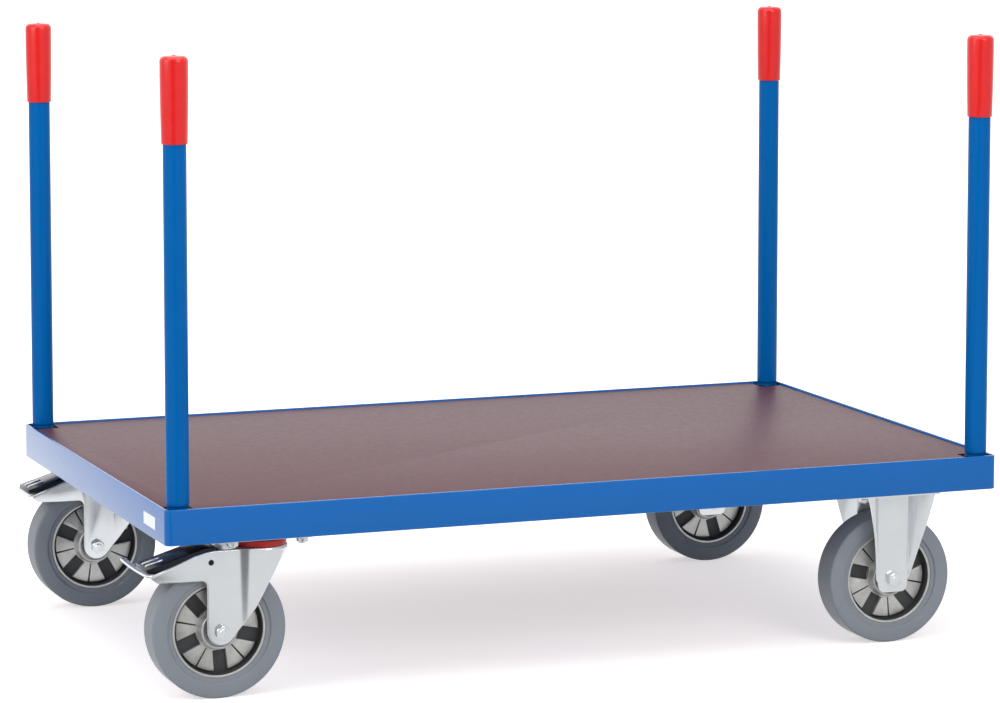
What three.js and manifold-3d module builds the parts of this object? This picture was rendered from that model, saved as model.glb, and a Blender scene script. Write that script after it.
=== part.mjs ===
// Stake cart: a steel-framed platform on two braked swivel castors and two fixed castors,
// with a film-faced plywood deck and four lift-out corner stakes.
// Millimetres, +Z up, +X along the platform towards the fixed castors, floor at Z = 0.
import * as THREE from "three";
import { mergeVertices, mergeGeometries } from "three/addons/utils/BufferGeometryUtils.js";
import Module from "manifold-3d";

const wasm = await Module();
wasm.setup();

// Driving dimensions of the whole cart
const platformLength = 1320;
const platformWidth = 820;
const wheelRadius = 100;
const headRoom = 37; // top of the wheels to the underside of the frame
const castorInset = 159; // each end of the platform to the middle of its castors' plates
const fit = 0.3; // gap between pieces that touch on the real cart
const overrun = 2; // how far a cutting shape passes the face that it cuts

// Frame: angle-section rim, castor beams and a deck bearer
const railHeight = 50;
const railWall = 4;
const railLedge = 50;
const railCorner = 10;
const railJointGap = 2; // past the ledge, to where a long rail meets an end rail
const beamMargin = 7.5; // castor plate to the edge of the beam that carries it
const bearerWidth = 60;
const bearerWall = 3;

// Deck board
const deckThickness = 15;
const deckRecess = 2;
const deckGap = 1;

// Stakes, their sockets and their grips
const stakeRise = 646; // rail top to the top of the grip's dome
const stakeRadius = 16.85;
const stakeWall = 2.6;
const stakeSwage = 2.85; // step from the stake down to its spigot
const shoulderRise = 5; // rail top to the full diameter of the stake
const shoulderLength = 3;
const socketWall = 2.6;
const socketPlay = 0.6;
const socketPlateEdge = 3;
const socketPlateThickness = 4;
const gripLength = 126;
const gripLipWall = 2.15;
const gripWall = 3.75;
const gripTopRound = 7;
const gripDome = 1.6;
const gripNub = 2;

// Wheels
const tyreWidth = 50;
const tyreShoulder = 7;
const tyreBeadWidth = 8;
const tyreBeadStep = 2.5;
const tyreDepth = 30; // rubber outside the rim
const rimWall = 3.5;
const rimWidth = 44;
const hubWebWidth = 22;
const hubBossWall = 4;
const hubLength = 50;
const hubWindows = 5;
const hubWindowWidth = 19;
const hubWindowGap = 3.5; // boss to the inner end of a window
const hubFloor = 3; // thickness of the web between facing windows
const bearingRadius = 23.5;
const bearingWidth = 12;
const axleRadius = 10;

// Castor brackets and their bolts
const cheekWall = 4;
const cheekGap = 6; // tyre to a cheek
const legRadius = 20;
const axleThreadRadius = 6;
const axleHeadRadius = 13;
const axleHeadThickness = 7;
const axleNutRadius = 11;
const axleNutThickness = 9;
const plateEdge = 15; // bolt centres to the edges of the plate
const plateThickness = 4;
const plateCorner = 8;
const boltSpacingX = 105;
const boltSpacingY = 80;
const boltHoleRadius = 5.5;

// Swivel head
const trail = 68; // kingpin axis to the wheel's axle
const headBulge = 6; // how far the head stands out past the cheeks
const rampStart = 43; // kingpin axis to where the cheeks begin to widen
const rampEnd = 27;
const rampRise = 4.5;
const headHeight = 14; // crown to the plate
const crownThickness = 5;
const raceGap = 2;
const raceWidth = 10;
const ringWall = 2.5;
const ringInset = 1.5;
const ringTopGap = 5;
const raceBoss = 6;
const kingpinRadius = 8;
const kingpinHeadRadius = 13;
const kingpinHeadHeight = 9;

// Fork side outline: reaches from the axle, rises from it and drops from the crown
const legFront = 21.6;
const noseDrop = 43;
const noseReach = 104;
const noseTipRise = 10;
const noseCut = 10;
const noseFillet = 9;
const cheekShoulder = 21;
const forkWaistReach = 73.5;
const forkWaistRise = 65;
const forkSkirtReach = 93;
const forkSkirtDrop = 19;

// Foot brake
const pivotReach = 15;
const pivotDrop = 17;
const trunnionRadius = 3.6;
const pedalGap = 5; // fork nose to the pedal bar
const pedalNear = 50;
const pedalFar = 94;
const pedalDepth = 9;
const pedalBow = 3; // how far the middle of the bar stands in front of its ends
const pedalThickness = 3.5;
const pedalDrop = 30;
const leverWall = 3;
const leverRootReach = 8;
const leverRise = 4; // above the crown
const leverFlange = 15;
const shoeStart = 32;
const shoeEnd = 66;
const shoeWidth = 42;
const shoeThickness = 5;
const shoeGap = 10;

// Fixed bracket
const bracketSide = 25; // bolt centres to the sides of the bracket's plate
const bracketTopHalf = 56;
const bracketFlare = 30;
const bracketFlat = 25;
const bracketFootHalf = 24;
const bracketFootRound = 10;
const bracketKneeHalf = 37;
const bracketKneeRise = 62;

// Facets round each turned shape
const wheelSides = 28;
const tubeSides = 16;
const hexSides = 6;

// Sizes and levels that follow from the driving dimensions
const spigotRadius = stakeRadius - stakeSwage;
const socketBore = spigotRadius + socketPlay;
const socketOutside = socketBore + socketWall;
const socketReach = socketOutside + socketPlateEdge; // stake axis to the edges of the corner plate
const stakeInset = railWall + fit + socketReach;
const gripLipRadius = stakeRadius + gripLipWall;
const gripRadius = stakeRadius + gripWall;
const rimRadius = wheelRadius - tyreDepth;
const tyreBeadRadius = rimRadius + tyreBeadWidth;
const hubBossRadius = bearingRadius + hubBossWall;
const hubWindowInner = hubBossRadius + hubWindowGap;
const cheekInner = tyreWidth / 2 + cheekGap;
const cheekOuter = cheekInner + cheekWall;
const headRadius = cheekOuter + headBulge;
const ringRadius = headRadius - ringInset;
const raceRadius = ringRadius - ringWall - raceGap;
const plateLength = boltSpacingX + 2 * plateEdge;
const plateWidth = boltSpacingY + 2 * plateEdge;
const bracketWidth = boltSpacingY + 2 * bracketSide;
const beamWidth = plateLength + 2 * beamMargin;
const pedalReach = noseReach + pedalGap + pedalDepth;
const castorSpacing = platformLength - 2 * castorInset;
const castorTrack = platformWidth - railWall - railLedge - boltSpacingY; // outer bolts run down the middle of the ledge
const castorHeight = 2 * wheelRadius + headRoom;
const railTop = castorHeight + railHeight;
const ledgeTop = castorHeight + railWall;
const deckTop = railTop - deckRecess;
const deckUnder = deckTop - deckThickness;
const plateUnder = castorHeight - plateThickness;
const crownTop = plateUnder - headHeight;
const noseUnderside = crownTop - noseDrop;
const forkWaistHeight = wheelRadius + forkWaistRise;
const forkSkirtHeight = crownTop - forkSkirtDrop;
const pivotHeight = crownTop - pivotDrop;
const pedalHeight = crownTop - pedalDrop;
const leverTop = crownTop + leverRise;
const halfLength = platformLength / 2;
const halfWidth = platformWidth / 2;

const paint = (color, roughness, metalness) => new THREE.MeshStandardMaterial({ color, roughness, metalness });
const bluePaint = paint(0x0a5fae, 0.4, 0.0);
const deckFilm = paint(0x6b4a4a, 0.55, 0.0);
const redVinyl = paint(0xdf2423, 0.25, 0.0);
const zinc = paint(0xc9cdd0, 0.35, 0.9);
const tyreRubber = paint(0x74797f, 0.7, 0.0);
const castAluminium = paint(0xa9a9a7, 0.45, 0.8);
const bearingSteel = paint(0x8d8f92, 0.3, 1.0);
const redSeal = paint(0xc81f1d, 0.35, 0.0);

// A closed three.js geometry as a solid, with its faces turned outwards
function solid(geometry) {
  const bare = geometry.index ? geometry.toNonIndexed() : geometry.clone();
  for (const name of Object.keys(bare.attributes)) {
    if (name !== "position") bare.deleteAttribute(name);
  }
  const merged = mergeVertices(bare, 1e-4);
  const corners = Array.from(merged.index.array);
  const triVerts = [];
  for (let i = 0; i < corners.length; i += 3) {
    const [a, b, c] = corners.slice(i, i + 3);
    if (a !== b && b !== c && a !== c) triVerts.push(a, b, c);
  }
  const vertProperties = merged.attributes.position.array;
  const make = (order) =>
    new wasm.Manifold(new wasm.Mesh({ numProp: 3, vertProperties, triVerts: new Uint32Array(order) }));
  const made = make(triVerts);
  if (made.volume() > 0) return made;
  const turned = [];
  for (let i = 0; i < triVerts.length; i += 3) turned.push(triVerts[i], triVerts[i + 2], triVerts[i + 1]);
  return make(turned);
}

const join = (first, ...others) => others.reduce((sum, next) => sum.add(next), first);
const cut = (first, ...others) => others.reduce((rest, next) => rest.subtract(next), first);

function geometryOf(made) {
  const { numProp, numVert, vertProperties, triVerts } = made.getMesh();
  const position = new Float32Array(numVert * 3);
  for (let i = 0; i < numVert; i++) {
    position.set(vertProperties.subarray(i * numProp, i * numProp + 3), i * 3);
  }
  const geometry = new THREE.BufferGeometry();
  geometry.setAttribute("position", new THREE.BufferAttribute(position, 3));
  geometry.setIndex(new THREE.BufferAttribute(new Uint32Array(triVerts), 1));
  const flat = geometry.toNonIndexed();
  flat.computeVertexNormals();
  return flat;
}

function piece(name, made, material, parent) {
  const mesh = new THREE.Mesh(geometryOf(made), material);
  mesh.name = name;
  parent.add(mesh);
  return mesh;
}

function block(x0, x1, y0, y1, z0, z1) {
  const geometry = new THREE.BoxGeometry(x1 - x0, y1 - y0, z1 - z0);
  return solid(geometry.translate((x0 + x1) / 2, (y0 + y1) / 2, (z0 + z1) / 2));
}

// A plan outline (x, y) raised from z0 to z1
function raised(shape, z0, z1, curveSegments = 5) {
  const geometry = new THREE.ExtrudeGeometry(shape, { depth: z1 - z0, bevelEnabled: false, curveSegments });
  return solid(geometry.translate(0, 0, z0));
}

// A side outline (x, z) carried across from y0 to y1
function across(shape, y0, y1, curveSegments = 5) {
  const geometry = new THREE.ExtrudeGeometry(shape, { depth: y1 - y0, bevelEnabled: false, curveSegments });
  return solid(geometry.rotateX(Math.PI / 2).translate(0, y1, 0));
}

// A closed profile of (radius, height) pairs turned about +Z
function turned(profile, sides) {
  const points = profile.map(([r, z]) => new THREE.Vector2(r, z));
  const geometry = new THREE.LatheGeometry([...points, points[0]], sides, Math.PI / sides);
  return solid(geometry.rotateX(Math.PI / 2));
}

// The same about +Y, where the pairs are (radius, y)
function spun(profile, sides) {
  const points = profile.map(([r, y]) => new THREE.Vector2(r, y));
  return solid(new THREE.LatheGeometry([...points, points[0]], sides, Math.PI / sides));
}

function pinAlongY(radius, x, z, y0, y1, sides = tubeSides) {
  return spun([[0, y0], [radius, y0], [radius, y1], [0, y1]], sides).translate([x, 0, z]);
}

function pinAlongZ(radius, x, y, z0, z1, sides = tubeSides) {
  return turned([[0, z0], [radius, z0], [radius, z1], [0, z1]], sides).translate([x, y, 0]);
}

function roundedRectangle(halfX, halfY, radius) {
  const shape = new THREE.Shape();
  shape.moveTo(-halfX + radius, -halfY);
  shape.lineTo(halfX - radius, -halfY);
  shape.absarc(halfX - radius, -halfY + radius, radius, -Math.PI / 2, 0);
  shape.lineTo(halfX, halfY - radius);
  shape.absarc(halfX - radius, halfY - radius, radius, 0, Math.PI / 2);
  shape.lineTo(-halfX + radius, halfY);
  shape.absarc(-halfX + radius, halfY - radius, radius, Math.PI / 2, Math.PI);
  shape.lineTo(-halfX, -halfY + radius);
  shape.absarc(-halfX + radius, -halfY + radius, radius, Math.PI, Math.PI * 1.5);
  return shape;
}

function polygon(points) {
  const shape = new THREE.Shape();
  points.forEach(([u, v], i) => (i ? shape.lineTo(u, v) : shape.moveTo(u, v)));
  return shape;
}

const corners = [
  { name: "front_left", x: -1, y: -1 },
  { name: "front_right", x: 1, y: -1 },
  { name: "rear_left", x: -1, y: 1 },
  { name: "rear_right", x: 1, y: 1 },
];
const bolts = corners.map(({ x, y }) => ({ x: (x * boltSpacingX) / 2, y: (y * boltSpacingY) / 2 }));
const castorPlaces = corners.map(({ x, y }) => ({ x: (x * castorSpacing) / 2, y: (y * castorTrack) / 2 }));

// Every castor bolt hole of the frame, from z0 to z1
function frameBoltHoles(z0, z1) {
  const holes = castorPlaces.flatMap((castor) =>
    bolts.map((bolt) => pinAlongZ(boltHoleRadius, castor.x + bolt.x, castor.y + bolt.y, z0, z1, tubeSides / 2)),
  );
  return join(...holes);
}

// Rim: an angle section all round, cut into two long rails and two end rails
function addRim(parent) {
  const outer = roundedRectangle(halfLength, halfWidth, railCorner);
  const upright = cut(
    raised(outer, castorHeight, railTop),
    raised(
      roundedRectangle(halfLength - railWall, halfWidth - railWall, railCorner - railWall),
      castorHeight - overrun,
      railTop + overrun,
    ),
  );
  const ledge = cut(
    raised(outer, castorHeight, ledgeTop),
    block(
      -halfLength + railLedge, halfLength - railLedge,
      -halfWidth + railLedge, halfWidth - railLedge,
      castorHeight - overrun, ledgeTop + overrun,
    ),
    frameBoltHoles(castorHeight - overrun, ledgeTop + overrun),
  );
  const rim = join(upright, ledge);
  const reach = halfLength + overrun;
  const split = halfWidth - railLedge - railJointGap;
  const side = halfWidth + overrun;
  const low = castorHeight - overrun;
  const high = railTop + overrun;
  piece("rail_front", rim.intersect(block(-reach, reach, -side, -split, low, high)), bluePaint, parent);
  piece("rail_rear", rim.intersect(block(-reach, reach, split, side, low, high)), bluePaint, parent);
  piece("rail_left", rim.intersect(block(-reach, 0, -split, split, low, high)), bluePaint, parent);
  piece("rail_right", rim.intersect(block(0, reach, -split, split, low, high)), bluePaint, parent);
}

// Castor beam: an upturned channel that carries both castors of one end and the deck
function castorBeam(x) {
  const webReach = halfWidth - railLedge;
  const flangeReach = halfWidth - railWall;
  const half = beamWidth / 2;
  const web = block(x - half, x + half, -webReach, webReach, castorHeight, ledgeTop);
  const flange = (x0) => block(x0, x0 + railWall, -flangeReach, flangeReach, ledgeTop, deckUnder);
  const beam = join(web, flange(x - half), flange(x + half - railWall));
  return cut(beam, frameBoltHoles(castorHeight - overrun, ledgeTop + overrun));
}

// Deck bearer: a box tube across the middle, on the rails' ledges
function deckBearer() {
  const half = bearerWidth / 2;
  const reach = halfWidth - railWall;
  return cut(
    block(-half, half, -reach, reach, ledgeTop, deckUnder),
    block(
      -half + bearerWall, half - bearerWall,
      -reach - overrun, reach + overrun,
      ledgeTop + bearerWall, deckUnder - bearerWall,
    ),
  );
}

function deckBoard() {
  const x = halfLength - railWall - deckGap;
  const y = halfWidth - railWall - deckGap;
  const u = halfLength - stakeInset - socketReach - deckGap;
  const v = halfWidth - stakeInset - socketReach - deckGap;
  const outline = [
    [-u, -y], [u, -y], [u, -v], [x, -v], [x, v], [u, v],
    [u, y], [-u, y], [-u, v], [-x, v], [-x, -v], [-u, -v],
  ];
  return raised(polygon(outline), deckUnder, deckTop);
}

// Stake socket: a short tube on the rim's ledge, under a small square plate that lies flush with the deck
function stakeSocket(corner) {
  const sleeve = pinAlongZ(socketOutside, 0, 0, ledgeTop, deckTop);
  const edge = socketReach;
  const round = railCorner - railWall;
  const outline = [[edge, edge - round], [edge - round, edge], [-edge, edge], [-edge, -edge], [edge, -edge]];
  const plate = raised(
    polygon(outline.map(([u, v]) => [u * corner.x, v * corner.y])),
    deckTop - socketPlateThickness,
    deckTop,
  );
  return cut(join(sleeve, plate), pinAlongZ(socketBore, 0, 0, ledgeTop - overrun, deckTop + overrun));
}

// Stake: a tube swaged down at its foot, where it drops into the socket
function stakeTube() {
  const shoulder = railTop + shoulderRise;
  const top = railTop + stakeRise - gripDome - gripNub - fit;
  const inside = stakeRadius - stakeWall;
  const spigotInside = spigotRadius - stakeWall;
  return turned(
    [
      [spigotRadius, ledgeTop],
      [spigotRadius, shoulder - shoulderLength],
      [stakeRadius, shoulder],
      [stakeRadius, top - stakeWall],
      [inside, top - stakeWall],
      [inside, shoulder],
      [spigotInside, shoulder - shoulderLength],
      [spigotInside, ledgeTop],
    ],
    tubeSides,
  );
}

// Grip: a dipped vinyl sleeve, closed at the top
function stakeGrip() {
  const top = railTop + stakeRise;
  const foot = top - gripLength;
  const domeFoot = top - gripDome;
  const hollowTop = top - gripDome - gripNub - stakeWall;
  const roundShare = Math.SQRT1_2;
  const round = gripTopRound;
  return turned(
    [
      [stakeRadius + fit, foot],
      [gripLipRadius, foot],
      [gripRadius, foot + gripLength / 2],
      [gripRadius, domeFoot - round],
      [gripRadius - round * (1 - roundShare), domeFoot - round * (1 - roundShare)],
      [gripRadius - round, domeFoot],
      [gripNub, domeFoot + gripDome / 2],
      [gripNub, top],
      [0, top],
      [0, hollowTop + fit],
      [stakeRadius + fit, hollowTop + fit],
    ],
    tubeSides,
  );
}

// Tyre: flats under the wheel lie at the wheel's radius
const facetReach = 1 / Math.cos(Math.PI / wheelSides);
function tyre() {
  const tread = wheelRadius * facetReach;
  const seat = rimRadius * facetReach + fit;
  const half = tyreWidth / 2;
  const inner = half - tyreBeadStep;
  const side = (s) => [
    [seat, s * inner],
    [tyreBeadRadius, s * inner],
    [tyreBeadRadius + tyreBeadStep, s * half],
    [tread - tyreShoulder, s * half],
    [tread, s * (half - tyreShoulder)],
  ];
  return spun([...side(-1), ...side(1).reverse()], wheelSides);
}

// Cast hub: rim, web with windows that are blind at its middle, and a boss bored for two ball bearings
function wheelHub() {
  const rim = rimRadius * facetReach;
  const halfRim = rimWidth / 2;
  const halfWeb = hubWebWidth / 2;
  const half = hubLength / 2;
  const pocket = half - bearingWidth - fit;
  const through = (bearingRadius + axleRadius) / 2;
  const side = (s) => [
    [through, s * pocket],
    [bearingRadius + fit, s * pocket],
    [bearingRadius + fit, s * half],
    [hubBossRadius, s * half],
    [hubBossRadius, s * halfWeb],
    [rim - rimWall, s * halfWeb],
    [rim - rimWall, s * halfRim],
    [rim, s * halfRim],
  ];
  const blank = spun([...side(-1), ...side(1).reverse()], wheelSides);
  const windowEnd = rimRadius - rimWall * 2;
  const recess = (low, high) =>
    block(hubWindowInner, windowEnd, low, high, -hubWindowWidth / 2, hubWindowWidth / 2);
  const pair = join(recess(-halfWeb - overrun, -hubFloor / 2), recess(hubFloor / 2, halfWeb + overrun));
  const windows = Array.from({ length: hubWindows }, (_, i) => pair.rotate([0, (360 / hubWindows) * i, 0]));
  return cut(blank, ...windows);
}

function ballBearing() {
  const half = bearingWidth / 2;
  const bore = axleRadius + fit;
  return spun([[bore, -half], [bearingRadius, -half], [bearingRadius, half], [bore, half]], tubeSides);
}

// Shouldered axle bolt: its head is on the far cheek and its nut on the near one
function axleBolt() {
  const nutEnd = -cheekOuter - axleNutThickness - fit;
  const headEnd = cheekOuter + fit + axleHeadThickness;
  const shaft = spun(
    [
      [0, nutEnd],
      [axleThreadRadius, nutEnd],
      [axleThreadRadius, -cheekInner + fit],
      [axleRadius, -cheekInner + fit],
      [axleRadius, cheekOuter + fit],
      [0, cheekOuter + fit],
    ],
    tubeSides,
  );
  return join(shaft, pinAlongY(axleHeadRadius, 0, 0, cheekOuter + fit, headEnd, hexSides));
}

function axleNut() {
  const y1 = -cheekOuter - fit;
  const y0 = y1 - axleNutThickness;
  return cut(
    pinAlongY(axleNutRadius, 0, 0, y0, y1, hexSides),
    pinAlongY(axleThreadRadius + fit, 0, 0, y0 - overrun, y1 + overrun),
  );
}

// Holes for the axle through a pair of cheeks, at (x, z)
function axleHoles(x, z) {
  return join(
    pinAlongY(axleThreadRadius + fit, x, z, -cheekOuter - overrun, 0),
    pinAlongY(axleRadius + fit, x, z, 0, cheekOuter + overrun),
  );
}

function castorPlate(width = plateWidth) {
  const plate = raised(roundedRectangle(plateLength / 2, width / 2, plateCorner), plateUnder, castorHeight, 3);
  const holes = bolts.map(({ x, y }) =>
    pinAlongZ(boltHoleRadius, x, y, plateUnder - overrun, castorHeight + overrun, tubeSides / 2),
  );
  return cut(plate, ...holes);
}

// Swivel castor, with the kingpin on the local Z axis and the axle towards -X
function swivelPlate() {
  const boss = pinAlongZ(raceRadius, 0, 0, plateUnder - raceBoss, plateUnder, wheelSides);
  const bore = pinAlongZ(kingpinRadius + fit, 0, 0, plateUnder - raceBoss - overrun, castorHeight + overrun);
  return cut(join(castorPlate(), boss), bore);
}

function ballRace() {
  const low = crownTop + fit;
  const high = plateUnder - raceBoss - fit;
  const inside = raceRadius - raceWidth;
  const waist = (high - low) / 4;
  return turned(
    [
      [inside, low + waist], [inside + waist, low], [raceRadius - waist, low], [raceRadius, low + waist],
      [raceRadius, high - waist], [raceRadius - waist, high], [inside + waist, high], [inside, high - waist],
    ],
    wheelSides,
  );
}

function sealRing() {
  const low = crownTop + fit;
  const high = plateUnder - ringTopGap;
  return turned(
    [
      [ringRadius - ringWall, low],
      [ringRadius - ringWall / 2, low],
      [ringRadius, low + ringWall],
      [ringRadius, high],
      [ringRadius - ringWall, high],
    ],
    wheelSides,
  );
}

function kingpin() {
  const headTop = crownTop - crownThickness - fit;
  return turned(
    [
      [0, headTop - kingpinHeadHeight],
      [kingpinHeadRadius, headTop - kingpinHeadHeight],
      [kingpinHeadRadius, headTop],
      [kingpinRadius, headTop],
      [kingpinRadius, castorHeight - fit],
      [0, castorHeight - fit],
    ],
    tubeSides,
  );
}

// The fork's side view: leg, brake nose, crown and raked back edge
function forkOutline() {
  const shape = new THREE.Shape();
  const axle = -trail;
  shape.moveTo(axle - legFront, noseUnderside - noseFillet);
  shape.lineTo(axle - legFront, wheelRadius);
  shape.absarc(axle, wheelRadius, legRadius, Math.PI, Math.PI * 1.8);
  shape.lineTo(axle + forkWaistReach, forkWaistHeight);
  shape.lineTo(axle + forkSkirtReach, forkSkirtHeight);
  shape.lineTo(headRadius, crownTop - crownThickness);
  shape.lineTo(headRadius, crownTop);
  shape.lineTo(-headRadius, crownTop);
  shape.lineTo(axle - cheekShoulder, crownTop - 1.5 * fit);
  shape.lineTo(axle - noseReach, noseUnderside + noseTipRise);
  shape.lineTo(axle - noseReach + noseCut, noseUnderside);
  shape.lineTo(axle - legFront - noseFillet, noseUnderside);
  shape.absarc(axle - legFront - noseFillet, noseUnderside - noseFillet, noseFillet, Math.PI / 2, 0, true);
  shape.closePath();
  return shape;
}

// The fork's plan view: two cheeks that widen round the swivel head, offset by inset from the outside
function forkPlan(inset) {
  const half = cheekOuter - inset;
  const radius = headRadius - inset;
  const shape = new THREE.Shape();
  const front = -trail - noseReach - (inset ? overrun : 0);
  shape.moveTo(front, half);
  shape.lineTo(front, -half);
  shape.lineTo(-rampStart, -half);
  shape.lineTo(-rampEnd, -half - rampRise);
  shape.lineTo(0, -radius);
  shape.absarc(0, 0, radius, -Math.PI / 2, Math.PI / 2);
  shape.lineTo(-rampEnd, half + rampRise);
  shape.lineTo(-rampStart, half);
  shape.closePath();
  return shape;
}

function fork() {
  const outline = across(forkOutline(), -headRadius - overrun, headRadius + overrun);
  const low = wheelRadius - legRadius - overrun;
  const walls = cut(
    raised(forkPlan(0), low, crownTop, 9),
    raised(forkPlan(cheekWall), low - overrun, crownTop + overrun, 9),
  ).intersect(outline);
  const webFront = block(-trail, headRadius, -headRadius, headRadius, crownTop - crownThickness, crownTop);
  const web = raised(forkPlan(cheekWall / 2), crownTop - crownThickness, crownTop, 9).intersect(webFront);
  return cut(
    join(walls, web),
    axleHoles(-trail, wheelRadius),
    pinAlongZ(kingpinRadius + fit, 0, 0, crownTop - crownThickness - overrun, crownTop + overrun),
    pinAlongY(trunnionRadius + fit, -trail - pivotReach, pivotHeight, -cheekOuter - overrun, cheekOuter + overrun, tubeSides / 2),
  );
}

// Foot brake lever: a channel over the tyre that turns on two trunnions, with a wide pedal bar
function brakeLever() {
  const axle = -trail;
  const half = cheekInner - 3 * fit;
  const root = axle - leverRootReach;
  const barBack = axle - pedalReach + pedalDepth;
  const slope = (leverTop - pedalHeight - pedalThickness) / (pedalReach - pedalDepth - cheekShoulder);
  const topAt = (x) => Math.min(leverTop, pedalHeight + pedalThickness + (x - barBack) * slope);
  const side = polygon([
    [barBack - overrun, pedalHeight],
    [barBack - overrun, pedalHeight + pedalThickness],
    [barBack, pedalHeight + pedalThickness],
    [axle - cheekShoulder, leverTop],
    [root, leverTop],
    [root, pivotHeight - trunnionRadius - leverWall / 2],
    [axle - pivotReach - trunnionRadius, pivotHeight - trunnionRadius - leverWall / 2],
    [axle - shoeEnd, topAt(axle - shoeEnd) - leverFlange],
    [barBack + pedalDepth, pedalHeight],
  ]);
  const body = across(side, -half, half);
  const under = polygon([
    [barBack + overrun, pedalHeight - leverFlange],
    [barBack + overrun, topAt(barBack + overrun) - leverWall],
    [axle - cheekShoulder, leverTop - leverWall],
    [root + overrun, leverTop - leverWall],
    [root + overrun, pivotHeight - leverFlange],
  ]);
  const hollow = across(under, -half + leverWall, half - leverWall);
  const barEnd = axle - pedalReach + pedalBow;
  const barMiddle = (pedalFar - pedalNear) / 2;
  const bar = raised(
    polygon([
      [barBack, -pedalNear], [barBack, pedalFar], [barEnd, pedalFar],
      [axle - pedalReach, barMiddle], [barEnd, -pedalNear],
    ]),
    pedalHeight,
    pedalHeight + pedalThickness,
  );
  const trunnion = (y0, y1) => pinAlongY(trunnionRadius, axle - pivotReach, pivotHeight, y0, y1, tubeSides / 2);
  const trunnionEnd = cheekOuter - fit;
  return join(
    cut(body, hollow),
    bar,
    trunnion(-trunnionEnd, -half + leverWall / 2),
    trunnion(half - leverWall / 2, trunnionEnd),
  );
}

// Brake shoe: a curved pad under the lever, parallel to the tread, on a stem up to the lever
function brakeShoe() {
  const axle = -trail;
  const face = wheelRadius + shoeGap;
  const startAngle = Math.PI - Math.acos(shoeStart / face);
  const endAngle = Math.PI - Math.acos(shoeEnd / face);
  const shape = new THREE.Shape();
  shape.absarc(axle, wheelRadius, face, startAngle, endAngle);
  shape.absarc(axle, wheelRadius, face + shoeThickness, endAngle, startAngle, true);
  shape.closePath();
  const pad = across(shape, -shoeWidth / 2, shoeWidth / 2, 4);
  const slope = (leverTop - pedalHeight - pedalThickness) / (pedalReach - pedalDepth - cheekShoulder);
  const middle = (shoeStart + shoeEnd) / 2;
  const stemHalf = shoeThickness;
  const underLever = (reach) => leverTop - leverWall - fit - (reach - cheekShoulder) * slope;
  const stemFoot = wheelRadius + Math.sqrt(face * face - middle * middle) + shoeThickness / 2;
  const stem = polygon([
    [axle - middle - stemHalf, stemFoot],
    [axle - middle + stemHalf, stemFoot],
    [axle - middle + stemHalf, underLever(middle - stemHalf)],
    [axle - middle - stemHalf, underLever(middle + stemHalf)],
  ]);
  return join(pad, across(stem, -shoeWidth / 4, shoeWidth / 4));
}

// Fixed castor bracket, with the axle on the local Z axis: plate and two tapered, flared cheeks
function fixedBracket() {
  const foot = wheelRadius - legRadius;
  const top = plateUnder + overrun;
  const knee = wheelRadius + bracketKneeRise;
  const rightSide = [
    [bracketFootHalf - bracketFootRound, foot],
    [bracketFootHalf, foot + bracketFootRound],
    [bracketFlat, wheelRadius],
    [bracketKneeHalf, knee],
    [bracketTopHalf, top],
  ];
  const leftSide = rightSide.map(([x, z]) => [-x, z]).reverse();
  const outline = across(polygon([...rightSide, ...leftSide]), -bracketWidth / 2, bracketWidth / 2);
  const low = wheelRadius - legRadius - overrun;
  const wing = bracketTopHalf + overrun;
  const cheek = (s) =>
    raised(
      polygon([
        [-wing, s * (cheekInner + bracketFlare)],
        [-bracketFlat, s * cheekInner],
        [bracketFlat, s * cheekInner],
        [wing, s * (cheekInner + bracketFlare)],
        [wing, s * (cheekOuter + bracketFlare)],
        [bracketFlat, s * cheekOuter],
        [-bracketFlat, s * cheekOuter],
        [-wing, s * (cheekOuter + bracketFlare)],
      ]),
      low,
      plateUnder + overrun,
    ).intersect(outline);
  return cut(join(castorPlate(bracketWidth), cheek(-1), cheek(1)), axleHoles(0, wheelRadius));
}

// The wheel's own pieces, with the axle along Y at (x, wheelRadius)
function addWheel(label, x, parent) {
  const wheel = new THREE.Group();
  wheel.position.set(x, 0, wheelRadius);
  parent.add(wheel);
  piece(`tyre_${label}`, tyre(), tyreRubber, wheel);
  piece(`hub_${label}`, wheelHub(), castAluminium, wheel);
  const bearingPlace = (hubLength - bearingWidth) / 2;
  piece(`bearing_near_${label}`, ballBearing(), bearingSteel, wheel).position.y = -bearingPlace;
  piece(`bearing_far_${label}`, ballBearing(), bearingSteel, wheel).position.y = bearingPlace;
  piece(`axle_bolt_${label}`, axleBolt(), zinc, wheel);
  piece(`axle_nut_${label}`, axleNut(), zinc, wheel);
}

function addSwivelCastor(label, place, parent) {
  const castor = new THREE.Group();
  castor.position.set(place.x, place.y, 0);
  parent.add(castor);
  piece(`swivel_plate_${label}`, swivelPlate(), zinc, castor);
  piece(`kingpin_${label}`, kingpin(), zinc, castor);
  piece(`ball_race_${label}`, ballRace(), bearingSteel, castor);
  piece(`seal_ring_${label}`, sealRing(), redSeal, castor);
  piece(`fork_${label}`, fork(), zinc, castor);
  piece(`brake_lever_${label}`, brakeLever(), zinc, castor);
  piece(`brake_shoe_${label}`, brakeShoe(), bearingSteel, castor);
  addWheel(label, -trail, castor);
}

function addFixedCastor(label, place, parent) {
  const castor = new THREE.Group();
  castor.position.set(place.x, place.y, 0);
  parent.add(castor);
  piece(`bracket_${label}`, fixedBracket(), zinc, castor);
  addWheel(label, 0, castor);
}

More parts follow.
